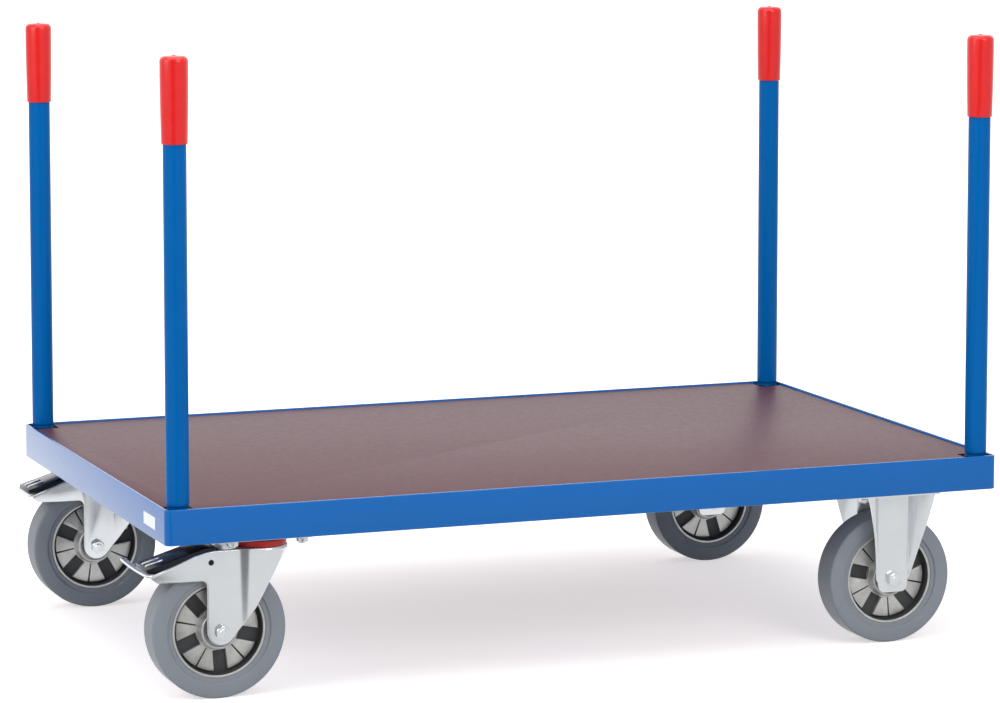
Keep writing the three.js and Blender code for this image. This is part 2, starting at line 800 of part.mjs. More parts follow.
// The whole cart, moved so that the origin lies under the middle of its bounding box
const cart = new THREE.Group();
const pedalOverhang = castorSpacing / 2 + trail + pedalReach - halfLength;
const pedalBulge = castorTrack / 2 + pedalFar - halfWidth;
cart.position.set(pedalOverhang / 2, -pedalBulge / 2, 0);
addRim(cart);
piece("castor_beam_left", castorBeam(-castorSpacing / 2), bluePaint, cart);
piece("castor_beam_right", castorBeam(castorSpacing / 2), bluePaint, cart);
piece("deck_bearer", deckBearer(), bluePaint, cart);
piece("deck_board", deckBoard(), deckFilm, cart);
for (const corner of corners) {
  const stake = new THREE.Group();
  stake.position.set(corner.x * (halfLength - stakeInset), corner.y * (halfWidth - stakeInset), 0);
  cart.add(stake);
  piece(`stake_socket_${corner.name}`, stakeSocket(corner), bluePaint, stake);
  piece(`stake_tube_${corner.name}`, stakeTube(), bluePaint, stake);
  piece(`stake_grip_${corner.name}`, stakeGrip(), redVinyl, stake);
}
corners.forEach((corner, i) => {
  const addCastor = corner.x < 0 ? addSwivelCastor : addFixedCastor;
  addCastor(corner.name, castorPlaces[i], cart);
});

export default cart;
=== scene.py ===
import bisect
import math
import bmesh
import bpy
from mathutils import Matrix, Vector


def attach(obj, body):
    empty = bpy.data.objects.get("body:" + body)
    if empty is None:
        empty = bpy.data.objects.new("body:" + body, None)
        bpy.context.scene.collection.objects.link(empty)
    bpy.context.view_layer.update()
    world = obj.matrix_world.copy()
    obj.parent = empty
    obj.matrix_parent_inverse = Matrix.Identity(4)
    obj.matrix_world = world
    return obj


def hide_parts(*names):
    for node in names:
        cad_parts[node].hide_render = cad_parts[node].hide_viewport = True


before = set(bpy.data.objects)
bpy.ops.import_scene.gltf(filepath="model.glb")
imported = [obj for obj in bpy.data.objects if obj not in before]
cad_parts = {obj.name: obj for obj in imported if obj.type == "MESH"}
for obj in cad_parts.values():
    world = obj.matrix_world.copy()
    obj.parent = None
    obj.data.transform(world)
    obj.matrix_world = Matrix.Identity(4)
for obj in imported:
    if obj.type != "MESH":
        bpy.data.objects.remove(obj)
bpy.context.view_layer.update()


# Viewpoint: a long lens some 6 m away at the front left, 1.3 m above the floor and tilted slightly down.
# The cart is drawn in millimetres round the middle of its platform, which lies off the frame's origin,
# because the brake pedals reach past the rim.
mm = 0.001
platform_x = 13.5
platform_y = -13.5


def platform_place(x, y, z=0.0):
    return (x + platform_x, y + platform_y, z)


def aim_camera():
    heading = math.radians(20.71)
    downward = math.radians(6.14)
    camera = bpy.data.objects.new("camera", bpy.data.cameras.new("camera"))
    camera.data.sensor_width = 36.0
    camera.data.lens = 145.51
    camera.data.shift_y = -0.15
    camera.data.clip_end = 100.0
    camera.location = Vector(platform_place(-2213.8, -5858.8, 1336.1)) * mm
    camera.rotation_euler = (math.radians(90) - downward, 0, -heading)
    bpy.context.scene.collection.objects.link(camera)
    bpy.context.scene.camera = camera


aim_camera()


# Studio: white walls and a matt white floor, with soft boxes overhead, at the left and in front. They light
# the cart evenly, and the floor shows a pale shadow, partly cast by the boxes and partly painted into its
# glow.
def linear(hex_colour):
    values = [int(hex_colour[i:i + 2], 16) / 255 for i in (1, 3, 5)]
    curve = [v / 12.92 if v <= 0.04045 else ((v + 0.055) / 1.055) ** 2.4 for v in values]
    return (*curve, 1.0)


def add_node(owner, kind, settings=None, links=None, **attributes):
    node = owner.node_tree.nodes.new(kind)
    for name, value in attributes.items():
        setattr(node, name, value)
    for name, value in (settings or {}).items():
        node.inputs[name].default_value = value
    for name, source in (links or {}).items():
        owner.node_tree.links.new(source, node.inputs[name])
    return node


def new_material(name):
    material = bpy.data.materials.new(name)
    material.use_nodes = True
    material.node_tree.nodes.clear()
    return material


def surface_output(material, shader):
    add_node(material, "ShaderNodeOutputMaterial", links={"Surface": shader.outputs[0]})


# What a mirror sees: white walls all round, whitest behind the cart, and a narrow dark gap at the front
# left. The whiteness goes by the cosine of the angle from straight behind.
def mirrored_walls(owner, direction):
    straight_behind = (0.39, 0.92, 0.0)
    level = add_node(
        owner, "ShaderNodeVectorMath", operation="MULTIPLY",
        links={0: direction}, settings={1: (1.0, 1.0, 0.0)},
    )
    unit = add_node(owner, "ShaderNodeVectorMath", operation="NORMALIZE", links={0: level.outputs[0]})
    cosine = add_node(
        owner, "ShaderNodeVectorMath", operation="DOT_PRODUCT",
        links={0: unit.outputs[0]}, settings={1: straight_behind},
    )
    beside_gap = add_node(
        owner, "ShaderNodeMapRange", interpolation_type="SMOOTHSTEP",
        settings={"From Min": -0.995, "From Max": -0.92, "To Min": 0.03, "To Max": 0.87},
        links={"Value": cosine.outputs["Value"]},
    )
    behind = add_node(
        owner, "ShaderNodeMapRange", interpolation_type="SMOOTHSTEP",
        settings={"From Min": 0.3, "From Max": 0.65, "To Min": 0.0, "To Max": 0.4},
        links={"Value": cosine.outputs["Value"]},
    )
    both = add_node(
        owner, "ShaderNodeMath", operation="ADD",
        links={0: beside_gap.outputs[0], 1: behind.outputs[0]},
    )
    return both.outputs[0]


# The world lights the cart from all round. Only reflections see the walls, and the camera sees white.
def raise_walls():
    fill_light = 0.66
    world = bpy.data.worlds.new("studio")
    bpy.context.scene.world = world
    world.use_nodes = True
    world.node_tree.nodes.clear()
    direction = add_node(world, "ShaderNodeTexCoord").outputs["Generated"]
    paths = add_node(world, "ShaderNodeLightPath")
    glossy = add_node(
        world, "ShaderNodeMix", data_type="FLOAT", settings={"A": fill_light},
        links={"Factor": paths.outputs["Is Glossy Ray"], "B": mirrored_walls(world, direction)},
    )
    seen = add_node(
        world, "ShaderNodeMix", data_type="FLOAT", settings={"B": 1.0},
        links={"Factor": paths.outputs["Is Camera Ray"], "A": glossy.outputs[0]},
    )
    background = add_node(
        world, "ShaderNodeBackground", settings={"Color": (1.0, 1.0, 1.0, 1.0)},
        links={"Strength": seen.outputs[0]},
    )
    add_node(world, "ShaderNodeOutputWorld", links={"Surface": background.outputs[0]})


def hang_soft_boxes():
    aim = Vector((0, 0, 250)) * mm
    boxes = {
        "overhead_box": {"place": (-300, -600, 2600), "size": (2600, 2000), "watts": 34.0},
        "left_box": {"place": (-3000, -900, 1700), "size": (1800, 1800), "watts": 28.0},
        "front_box": {"place": (900, -3600, 2300), "size": (1800, 1500), "watts": 38.0},
    }
    for name, box in boxes.items():
        lamp = bpy.data.lights.new(name, "AREA")
        lamp.shape = "RECTANGLE"
        lamp.size = box["size"][0] * mm
        lamp.size_y = box["size"][1] * mm
        lamp.energy = box["watts"]
        hung = bpy.data.objects.new(name, lamp)
        hung.location = Vector(box["place"]) * mm
        hung.rotation_euler = (aim - hung.location).to_track_quat("-Z", "Y").to_euler()
        bpy.context.scene.collection.objects.link(hung)


# Matt white paper that glows for the camera. Its glow is painted shadow: it is weakest in a pool under the
# cart, where it leaves a pale painted shadow, and fades up to white around it. In a reflection it carries
# the walls' light and dark on, measured from beside the front left castor.
def matt_sweep():
    from_castor = (0.541, 0.408, 0.0)
    painted_shadow_pool = (0.62, 1.0, 0.0)
    sweep = new_material("matt white sweep")
    spot = add_node(sweep, "ShaderNodeTexCoord").outputs["Object"]
    paths = add_node(sweep, "ShaderNodeLightPath")
    matt = add_node(sweep, "ShaderNodeBsdfDiffuse", settings={"Color": linear("#E4E2E2")})
    outwards = add_node(
        sweep, "ShaderNodeVectorMath", operation="ADD", links={0: spot}, settings={1: from_castor},
    )
    walls = add_node(
        sweep, "ShaderNodeEmission", settings={"Color": (1.0, 1.0, 1.0, 1.0)},
        links={"Strength": mirrored_walls(sweep, outwards.outputs[0])},
    )
    # Painted shadow: an oval pool round the cart, longer along it, where the glow for the camera is weaker.
    drawn_in = add_node(
        sweep, "ShaderNodeVectorMath", operation="MULTIPLY", links={0: spot}, settings={1: painted_shadow_pool},
    )
    away = add_node(sweep, "ShaderNodeVectorMath", operation="LENGTH", links={0: drawn_in.outputs[0]})
    painted_shadow_fade = add_node(
        sweep, "ShaderNodeMapRange", interpolation_type="SMOOTHSTEP",
        settings={"From Min": 0.4, "From Max": 1.7, "To Min": 0.57, "To Max": 1.0},
        links={"Value": away.outputs["Value"]},
    )
    painted_glow = add_node(
        sweep, "ShaderNodeEmission", settings={"Color": (1.0, 0.95, 0.945, 1.0)},
        links={"Strength": painted_shadow_fade.outputs[0]},
    )
    matt_and_painted_glow = add_node(
        sweep, "ShaderNodeAddShader", links={0: matt.outputs[0], 1: painted_glow.outputs[0]},
    )
    for_camera = add_node(
        sweep, "ShaderNodeMixShader",
        links={0: paths.outputs["Is Camera Ray"], 1: matt.outputs[0], 2: matt_and_painted_glow.outputs[0]},
    )
    for_gloss = add_node(
        sweep, "ShaderNodeMixShader",
        links={0: paths.outputs["Is Glossy Ray"], 1: for_camera.outputs[0], 2: walls.outputs[0]},
    )
    surface_output(sweep, for_gloss)
    return sweep


def lay_floor():
    reach = 30000.0
    sheet = bmesh.new()
    bmesh.ops.create_grid(sheet, x_segments=1, y_segments=1, size=reach * mm)
    mesh = bpy.data.meshes.new("floor")
    sheet.to_mesh(mesh)
    sheet.free()
    mesh.materials.append(matt_sweep())
    floor = bpy.data.objects.new("floor", mesh)
    bpy.context.scene.collection.objects.link(floor)


raise_walls()
hang_soft_boxes()
lay_floor()


# Platform rim: four lengths of steel angle with their ledge inwards, welded into a ring, the corners
# ground round and all of it powder coated in one blue.
half_length = 660.0
half_width = 410.0
frame_underside = 237.0
rim_top = 287.0

# The sides on which each corner lies, and the angle where its round begins.
quadrants = ((1, 1, 0), (-1, 1, 90), (-1, -1, 180), (1, -1, 270))


# Powder coat is smooth with a faint orange peel, and shines where one looks along it.
def powder_coat(name, colours, gloss):
    peel_width = 2.2 * mm
    peel_height = 0.2 * mm
    drift_width = 160.0 * mm
    paint = new_material(name)
    place = add_node(paint, "ShaderNodeTexCoord").outputs["Object"]
    peel = add_node(
        paint, "ShaderNodeTexNoise", settings={"Scale": 1 / peel_width, "Detail": 2.0, "Roughness": 0.45},
        links={"Vector": place},
    )
    drift = add_node(
        paint, "ShaderNodeTexNoise", settings={"Scale": 1 / drift_width, "Detail": 2.0},
        links={"Vector": place},
    )
    shade = add_node(
        paint, "ShaderNodeMix", data_type="RGBA",
        settings={"A": linear(colours[0]), "B": linear(colours[1])},
        links={"Factor": drift.outputs["Fac"]},
    )
    bump = add_node(
        paint, "ShaderNodeBump", settings={"Strength": 0.06, "Distance": peel_height},
        links={"Height": peel.outputs["Fac"]},
    )
    shader = add_node(
        paint, "ShaderNodeBsdfPrincipled",
        settings={
            "Roughness": 0.27, "Specular IOR Level": 0.1 * gloss,
            "Coat Weight": gloss, "Coat Roughness": 0.12, "Coat IOR": 1.3,
        },
        links={"Base Color": shade.outputs["Result"], "Normal": bump.outputs[0]},
    )
    surface_output(paint, shader)
    return paint


blue_coat = powder_coat("blue powder coat", ("#005EAA", "#0062B0"), 1.0)


def arc(centre, radius, start, end, steps):
    turn = [math.radians(start + (end - start) * i / steps) for i in range(steps + 1)]
    return [(centre[0] + radius * math.cos(a), centre[1] + radius * math.sin(a)) for a in turn]


# Every shape is finished alike: brought to metres, its sharp edges marked, and given its coat and the body
# that it rides on, and the solids that it stands for are hidden.
def finished(name, shape, material, body, nodes=()):
    sharp = math.radians(32.0)
    bmesh.ops.scale(shape, vec=(mm, mm, mm), verts=shape.verts)
    for face in shape.faces:
        face.smooth = True
    for edge in shape.edges:
        edge.smooth = len(edge.link_faces) == 2 and edge.calc_face_angle() < sharp
    mesh = bpy.data.meshes.new(name)
    shape.to_mesh(mesh)
    shape.free()
    mesh.materials.append(material)
    piece = bpy.data.objects.new(name, mesh)
    bpy.context.scene.collection.objects.link(piece)
    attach(piece, body)
    if nodes:
        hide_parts(*nodes)


# The ring is drawn about 2 mm deeper than its solids, because it looks so in the photograph.
def make_rim():
    wall = 4.0
    ledge = 50.0
    corner_round = 10.0
    corner_steps = 8
    edge_round = 1.2
    inner_round = 3.0
    added_below = 1.2
    added_above = 0.7
    low = frame_underside - added_below
    high = rim_top + added_above

    def ring_point(side_x, side_y, start, step, inset, height):
        inner = max(corner_round - inset, 0.0)
        kept = max(corner_round, inset)
        turn = math.radians(start + 90 * step / corner_steps)
        x = side_x * (half_length - kept) + inner * math.cos(turn)
        y = side_y * (half_width - kept) + inner * math.sin(turn)
        return platform_place(x, y, height)

    section = arc((edge_round, low + edge_round), edge_round, 270, 180, 3)
    section += arc((edge_round, high - edge_round), edge_round, 180, 90, 3)
    section += arc((wall - edge_round, high - edge_round), edge_round, 90, 0, 3)
    section += arc((wall + inner_round, low + wall + inner_round), inner_round, 180, 270, 4)
    section += [(ledge, low + wall), (ledge, low)]
    ring = bmesh.new()
    loops = []
    for side_x, side_y, start in quadrants:
        for step in range(corner_steps + 1):
            loops.append([
                ring.verts.new(ring_point(side_x, side_y, start, step, inset, height))
                for inset, height in section
            ])
    for here, there in zip(loops, loops[1:] + loops[:1]):
        for i in range(len(section)):
            j = (i + 1) % len(section)
            ring.faces.new((here[i], there[i], there[j], here[j]))
    bmesh.ops.remove_doubles(ring, verts=ring.verts, dist=0.001)
    bmesh.ops.recalc_face_normals(ring, faces=ring.faces)
    rails = ("rail_front", "rail_rear", "rail_left", "rail_right")
    finished("welded_rim", ring, blue_coat, "frame", rails)


make_rim()


# Castor beams and deck bearer: pressed channels and a box tube under the deck, welded to the rim and
# coated with it. Their shapes are the frame's own solids.
def dress_node(name, material):
    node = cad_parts[name]
    node.data.materials.clear()
    node.data.materials.append(material)


for under_deck in ("castor_beam_left", "castor_beam_right", "deck_bearer"):
    dress_node(under_deck, blue_coat)


# Deck: film-faced plywood, 15 mm thick, laid on the rim's ledge and notched at its corners for the
# stake sockets.
deck_top = 285.0


# The phenolic film is a dark red brown with a pressed mesh, which turns pale where one looks along it.
def phenolic_film():
    mesh_pitch = 2.4 * mm
    mesh_height = 0.15 * mm
    mottle_width = 9 * mm
    cloud_width = 220 * mm
    film = new_material("phenolic film on plywood")
    place = add_node(film, "ShaderNodeTexCoord").outputs["Object"]
    cells = add_node(
        film, "ShaderNodeTexVoronoi", voronoi_dimensions="2D", feature="F1", distance="CHEBYCHEV",
        settings={"Scale": 1 / mesh_pitch, "Randomness": 0.0},
        links={"Vector": place},
    )
    mottle = add_node(
        film, "ShaderNodeTexNoise", settings={"Scale": 1 / mottle_width, "Detail": 4.0, "Roughness": 0.6},
        links={"Vector": place},
    )
    cloud = add_node(
        film, "ShaderNodeTexNoise", settings={"Scale": 1 / cloud_width, "Detail": 3.0},
        links={"Vector": place},
    )
    fleck = add_node(
        film, "ShaderNodeMix", data_type="RGBA",
        settings={"A": linear("#522F36"), "B": linear("#5C373F")},
        links={"Factor": mottle.outputs["Fac"]},
    )
    tone = add_node(
        film, "ShaderNodeMix", data_type="RGBA", settings={"B": linear("#543138")},
        links={"Factor": cloud.outputs["Fac"], "A": fleck.outputs["Result"]},
    )
    sheen = add_node(
        film, "ShaderNodeMapRange",
        settings={"From Min": 0.35, "From Max": 0.65, "To Min": 0.42, "To Max": 0.47},
        links={"Value": mottle.outputs["Fac"]},
    )
    bump = add_node(
        film, "ShaderNodeBump", settings={"Strength": 0.25, "Distance": mesh_height},
        links={"Height": cells.outputs["Distance"]},
    )
    shader = add_node(
        film, "ShaderNodeBsdfPrincipled", settings={"Specular IOR Level": 0.2},
        links={
            "Base Color": tone.outputs["Result"], "Roughness": sheen.outputs[0],
            "Normal": bump.outputs[0],
        },
    )
    surface_output(film, shader)
    return film


def prism(points, low, high):
    shape = bmesh.new()
    face = shape.faces.new([shape.verts.new((x, y, low)) for x, y in points])
    grown = bmesh.ops.extrude_face_region(shape, geom=[face])
    top = [v for v in grown["geom"] if isinstance(v, bmesh.types.BMVert)]
    bmesh.ops.translate(shape, verts=top, vec=(0, 0, high - low))
    bmesh.ops.recalc_face_normals(shape, faces=shape.faces)
    return shape


def soften(shape, width, sharper_than=30.0, segments=2, where=None):
    edges = [
        e for e in shape.edges
        if len(e.link_faces) == 2 and e.calc_face_angle() > math.radians(sharper_than)
        and (where is None or where(e))
    ]
    bmesh.ops.bevel(
        shape, geom=edges, offset=width, offset_type="OFFSET", segments=segments,
        profile=0.5, affect="EDGES", material=-1, clamp_overlap=True,
    )
    return shape


def moved(shape, place):
    bmesh.ops.translate(shape, verts=shape.verts, vec=place)
    return shape


def make_deck():
    side_gap = 5.0
    end_gap = 7.0
    notch = 45.7
    thickness = 15.0
    edge_x = half_length - end_gap
    edge_y = half_width - side_gap
    notch_x = half_length - notch
    notch_y = half_width - notch
    outline = [
        (-notch_x, -edge_y), (notch_x, -edge_y), (notch_x, -notch_y), (edge_x, -notch_y),
        (edge_x, notch_y), (notch_x, notch_y), (notch_x, edge_y), (-notch_x, edge_y),
        (-notch_x, notch_y), (-edge_x, notch_y), (-edge_x, -notch_y), (-notch_x, -notch_y),
    ]
    board = soften(prism(outline, deck_top - thickness, deck_top), width=0.5)
    moved(board, platform_place(0, 0))
    finished("deck_panel", board, phenolic_film(), "frame", ("deck_board",))


make_deck()


# Stake sockets: a short steel tube on the rim's ledge, with a small plate that lies 9 mm down in the notch
# of the deck. Its powder coat is dull, and its blue is darkened far below the rim's as painted shade for
# the notch.
corners = {
    "front_left": (-1, -1), "front_right": (1, -1),
    "rear_left": (-1, 1), "rear_right": (1, 1),
}
stake_inset = 24.5
ledge_top = frame_underside + 4.0
# Painted shade: the sockets' blue is much darker than the rim's, for the shade down in the notch.
painted_shade_coat = powder_coat("blue powder coat darkened as painted shade", ("#002B52", "#00315C"), 0.1)
upright = (0, 0, 1)
across = (0, 1, 0)


def stake_place(corner):
    side_x, side_y = corners[corner]
    return platform_place(side_x * (half_length - stake_inset), side_y * (half_width - stake_inset))


# A profile of radius and height is turned into a closed ring or, where it starts on the axis, a solid.
def turned(profile, steps, axis=upright):
    shape = bmesh.new()
    verts = [shape.verts.new((r, 0, h) if axis == upright else (r, h, 0)) for r, h in profile]
    edges = [shape.edges.new(pair) for pair in zip(verts, verts[1:])]
    bmesh.ops.spin(
        shape, geom=verts + edges, cent=(0, 0, 0), axis=axis, dvec=(0, 0, 0),
        angle=math.tau, steps=steps, use_merge=True, use_normal_flip=False, use_duplicate=False,
    )
    bmesh.ops.remove_doubles(shape, verts=shape.verts, dist=0.001)
    bmesh.ops.recalc_face_normals(shape, faces=shape.faces)
    return shape


def gathered(*shapes):
    whole = bmesh.new()
    for shape in shapes:
        mesh = bpy.data.meshes.new("part")
        shape.to_mesh(mesh)
        shape.free()
        whole.from_mesh(mesh)
        bpy.data.meshes.remove(mesh)
    return whole


def combined(shape, other, how):
    solids = []
    for part in (shape, other):
        mesh = bpy.data.meshes.new("part")
        part.to_mesh(mesh)
        part.free()
        solid = bpy.data.objects.new("part", mesh)
        bpy.context.scene.collection.objects.link(solid)
        solids.append(solid)
    modifier = solids[0].modifiers.new("combine", "BOOLEAN")
    modifier.operation = how
    modifier.solver = "EXACT"
    modifier.object = solids[1]
    bpy.context.view_layer.update()
    evaluated = solids[0].evaluated_get(bpy.context.evaluated_depsgraph_get())
    result = bmesh.new()
    result.from_mesh(evaluated.to_mesh())
    evaluated.to_mesh_clear()
    for solid in solids:
        mesh = solid.data
        bpy.data.objects.remove(solid)
        bpy.data.meshes.remove(mesh)
    bmesh.ops.remove_doubles(result, verts=result.verts, dist=0.001)
    bmesh.ops.dissolve_degenerate(result, dist=0.001, edges=result.edges)
    return result


def make_socket(corner):
    bore = 14.6
    outside = 17.2
    chamfer = 1.0
    plate_top = deck_top - 9.0
    plate_underside = deck_top - 12.0
    plate_edge = 20.1
    plate_round = 6.0
    hole_low = 200.0
    hole_high = 300.0
    mouth = [(outside, deck_top - chamfer), (outside - chamfer, deck_top)]
    mouth += [(bore + chamfer, deck_top), (bore, deck_top - chamfer)]
    sleeve = turned([(bore, ledge_top), (outside, ledge_top)] + mouth + [(bore, ledge_top)], steps=64)
    outline = arc((plate_edge - plate_round, plate_edge - plate_round), plate_round, 0, 90, 5)
    outline += [(-plate_edge, plate_edge), (-plate_edge, -plate_edge), (plate_edge, -plate_edge)]
    side_x, side_y = corners[corner]
    plate = prism([(u * side_x, v * side_y) for u, v in outline], plate_underside, plate_top)
    hole_radius = outside - chamfer
    hole_profile = [(0, hole_low), (hole_radius, hole_low), (hole_radius, hole_high), (0, hole_high)]
    hole = turned(hole_profile, steps=48)
    socket = moved(gathered(sleeve, combined(plate, hole, "DIFFERENCE")), stake_place(corner))
    finished("socket_" + corner, socket, painted_shade_coat, "frame", ("stake_socket_" + corner,))


for corner in corners:
    make_socket(corner)


# Stakes: drawn steel tube, swaged to a spigot at the foot with a rounded shoulder. Their blue coat has
# less gloss than the rim's. The grip is a sleeve of red vinyl, dipped over the top end, thicker there.
tube_radius = 16.85
stake_coat = powder_coat("blue powder coat on tube", ("#005BA2", "#0060A8"), 0.25)


# Dipped vinyl is soft and glossy, with a slow unevenness where it ran before it set.
def dipped_vinyl():
    run_width = 25 * mm
    run_height = 0.5 * mm
    vinyl = new_material("dipped red vinyl")
    place = add_node(vinyl, "ShaderNodeTexCoord").outputs["Object"]
    run = add_node(
        vinyl, "ShaderNodeTexNoise", settings={"Scale": 1 / run_width, "Detail": 2.0},
        links={"Vector": place},
    )
    shade = add_node(
        vinyl, "ShaderNodeMix", data_type="RGBA",
        settings={"A": linear("#D2171B"), "B": linear("#DC2220")},
        links={"Factor": run.outputs["Fac"]},
    )
    bump = add_node(
        vinyl, "ShaderNodeBump", settings={"Strength": 0.08, "Distance": run_height},
        links={"Height": run.outputs["Fac"]},
    )
    shader = add_node(
        vinyl, "ShaderNodeBsdfPrincipled",
        settings={"Roughness": 0.22, "IOR": 1.4, "Coat Weight": 0.15, "Coat Roughness": 0.08},
        links={"Base Color": shade.outputs["Result"], "Normal": bump.outputs[0]},
    )
    surface_output(vinyl, shader)
    return vinyl


red_vinyl = dipped_vinyl()


def tube_shape():
    wall = 2.6
    chamfer = 1.0
    spigot_radius = 14.0
    spigot_top = rim_top + 2.0
    shoulder = rim_top + 5.0
    top = rim_top + 636.0
    profile = [(spigot_radius - chamfer, ledge_top), (spigot_radius, ledge_top + chamfer)]
    profile += [(spigot_radius, spigot_top), (spigot_radius + 1.6, shoulder - 2.6)]
    profile += [(spigot_radius + 2.4, shoulder - 1.6), (tube_radius, shoulder + 0.8)]
    profile += [(tube_radius, top), (tube_radius - wall, top), (tube_radius - wall, shoulder)]
    profile += [(spigot_radius - wall, spigot_top), (spigot_radius - wall, ledge_top + chamfer)]
    return turned(profile + [profile[0]], steps=64)


def grip_shape():
    top = rim_top + 646.0
    foot = top - 126.0
    lip_radius = 19.0
    lip_round = 1.0
    swell_radius = 20.5
    top_round = 7.5
    dome = top - 1.6
    profile = [(tube_radius + 0.1, foot)]
    profile += arc((lip_radius - lip_round, foot + lip_round), lip_round, -90, 0, 4)
    profile += [(lip_radius + 0.4, foot + 20), (lip_radius + 0.9, foot + 45), (swell_radius, foot + 95)]
    profile += arc((swell_radius - top_round, dome - top_round), top_round, 0, 90, 10)
    profile += [(7.0, dome + 0.5), (3.0, dome + 0.8), (2.4, top - 0.3), (1.8, top), (0, top)]
    return turned(profile, steps=64)


for corner in corners:
    body = "stake_" + corner
    tube = moved(tube_shape(), stake_place(corner))
    finished("tube_" + corner, tube, stake_coat, body, ("stake_tube_" + corner,))
    grip = moved(grip_shape(), stake_place(corner))
    finished("grip_" + corner, grip, red_vinyl, body, ("stake_grip_" + corner,))


# Wheels: a die-cast aluminium rim with paired ribs between its windows, and a band of blue-grey elastic
# rubber vulcanised on to it. Two ball bearings carry it on a bolt with a lock nut, and each wheel has
# stopped at its own angle, given in degrees.
wheel_radius = 100.0
castor_track = 343.0
castor_line = 501.0
castor_trail = 68.0
cheek_face = 35.2
hub_turns = {"front_left": 85.0, "front_right": 49.0, "rear_left": 62.0, "rear_right": 75.0}


# Moulded rubber is satin, with a pale bloom in patches and a fine grain, drawn coarser so that it shows.
def elastic_rubber():
    bloom_width = 40 * mm
    grain_width = 0.9 * mm
    grain_height = 0.1 * mm
    rubber = new_material("blue-grey elastic rubber")
    place = add_node(rubber, "ShaderNodeTexCoord").outputs["Object"]
    bloom = add_node(
        rubber, "ShaderNodeTexNoise", settings={"Scale": 1 / bloom_width, "Detail": 3.0},
        links={"Vector": place},
    )
    grain = add_node(
        rubber, "ShaderNodeTexNoise", settings={"Scale": 1 / grain_width, "Detail": 2.0},
        links={"Vector": place},
    )
    shade = add_node(
        rubber, "ShaderNodeMix", data_type="RGBA",
        settings={"A": linear("#7F858C"), "B": linear("#8A9098")},
        links={"Factor": bloom.outputs["Fac"]},
    )
    sheen = add_node(
        rubber, "ShaderNodeMapRange",
        settings={"From Min": 0.3, "From Max": 0.7, "To Min": 0.34, "To Max": 0.42},
        links={"Value": bloom.outputs["Fac"]},
    )
    bump = add_node(
        rubber, "ShaderNodeBump", settings={"Strength": 0.1, "Distance": grain_height},
        links={"Height": grain.outputs["Fac"]},
    )
    shader = add_node(
        rubber, "ShaderNodeBsdfPrincipled", settings={"Specular IOR Level": 0.08},
        links={
            "Base Color": shade.outputs["Result"], "Roughness": sheen.outputs[0],
            "Normal": bump.outputs[0],
        },
    )
    surface_output(rubber, shader)
    return rubber


# Cast, ground and plated metals differ in tone, in how sharply they mirror and in their grain, and each
# has slow patches of tone. Where a real surface scatters much of its light, it is only partly metallic.
# The real grain is too fine to show, so it is drawn about 1 to 2 mm wide.
def plain_metal(name, light, dark, roughness, grain_width, grain_height, metallic=1.0):
    patch_width = 18 * mm
    metal = new_material(name)
    place = add_node(metal, "ShaderNodeTexCoord").outputs["Object"]
    patch = add_node(
        metal, "ShaderNodeTexNoise", settings={"Scale": 1 / patch_width, "Detail": 3.0, "Roughness": 0.55},
        links={"Vector": place},
    )
    grain = add_node(
        metal, "ShaderNodeTexNoise",
        settings={"Scale": 1 / (grain_width * mm), "Detail": 3.0, "Roughness": 0.6},
        links={"Vector": place},
    )
    shade = add_node(
        metal, "ShaderNodeMix", data_type="RGBA", settings={"A": linear(dark), "B": linear(light)},
        links={"Factor": patch.outputs["Fac"]},
    )
    sheen = add_node(
        metal, "ShaderNodeMapRange",
        settings={"From Min": 0.3, "From Max": 0.7, "To Min": roughness[0], "To Max": roughness[1]},
        links={"Value": patch.outputs["Fac"]},
    )
    bump = add_node(
        metal, "ShaderNodeBump", settings={"Strength": 0.06, "Distance": grain_height * mm},
        links={"Height": grain.outputs["Fac"]},
    )
    shader = add_node(
        metal, "ShaderNodeBsdfPrincipled", settings={"Metallic": metallic},
        links={
            "Base Color": shade.outputs["Result"], "Roughness": sheen.outputs[0],
            "Normal": bump.outputs[0],
        },
    )
    surface_output(metal, shader)
    return metal


# Cast aluminium is a soft grey that blurs what it mirrors, and a dark painted shade lines its hollows.
# Ground steel is darker and sharper, and bright zinc is nearly white.
tyre_rubber = elastic_rubber()
cast_aluminium = plain_metal(
    "die-cast aluminium", "#DEDEDC", "#9A9A98", roughness=(0.34, 0.46),
    grain_width=1.2, grain_height=0.15, metallic=0.55,
)
# Painted shade: a dark grey lining for the hollows of the casting.
painted_shade_lining = plain_metal(
    "dark painted shade in aluminium hollows", "#48494B", "#3A3B3D", roughness=(0.6, 0.7),
    grain_width=1.2, grain_height=0.1, metallic=0.1,
)
bearing_steel = plain_metal(
    "ground bearing steel", "#9A9CA0", "#7C7E82", roughness=(0.22, 0.32),
    grain_width=0.8, grain_height=0.05, metallic=0.5,
)
zinc_plate = plain_metal(
    "bright zinc plate", "#E2E5E8", "#D7DBDF", roughness=(0.18, 0.22),
    grain_width=1.5, grain_height=0.03, metallic=0.75,
)


def castor_place(corner):
    side_x, side_y = corners[corner]
    return platform_place(side_x * castor_line, side_y * castor_track)


def wheel_place(corner):
    side_x, side_y = corners[corner]
    trail = castor_trail if side_x < 0 else 0
    return platform_place(side_x * castor_line - trail, side_y * castor_track, wheel_radius)


def spun_round(shape, degrees, axis):
    turn = Matrix.Rotation(math.radians(degrees), 3, axis)
    bmesh.ops.rotate(shape, verts=shape.verts, cent=(0, 0, 0), matrix=turn)
    return shape


# A wheel part's profile is drawn for one side and repeated for the other.
def both_sides(side):
    return side + [(r, -y) for r, y in reversed(side)] + [side[0]]


